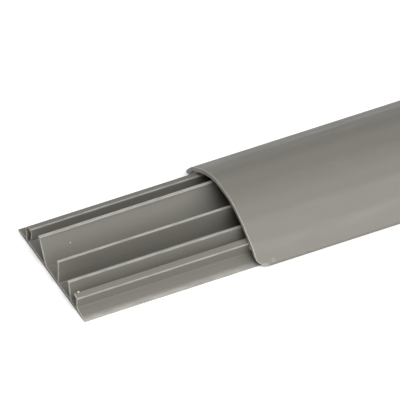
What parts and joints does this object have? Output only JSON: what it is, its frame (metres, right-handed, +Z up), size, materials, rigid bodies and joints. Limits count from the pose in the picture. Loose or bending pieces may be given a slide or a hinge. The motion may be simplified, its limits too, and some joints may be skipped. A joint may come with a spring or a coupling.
{
  "type": "floor cord cover",
  "caption": "Low domed floor cord cover: a flat base profile with walled cable ways and a clip-on cover that slides along it.",
  "frame": {"origin": "middle of the base profile's flat underside", "axes": "+X along the stock, +Y across to the side of the leaning wall, +Z up from the floor"},
  "size_m": [2.086, 0.075, 0.02],
  "materials": {
    "base_plastic": "semi-matte warm grey",
    "cover_plastic": "semi-matte warm grey"
  },
  "bodies": {
    "base": {"base_profile": "base_plastic"},
    "cover": {"cover_profile": "cover_plastic"}
  },
  "joints": [
    {"name": "cover_slide", "type": "slide", "parent": "base", "child": "cover", "axis": [1, 0, 0], "range_m": [-1.086, 0.914]}
  ]
}
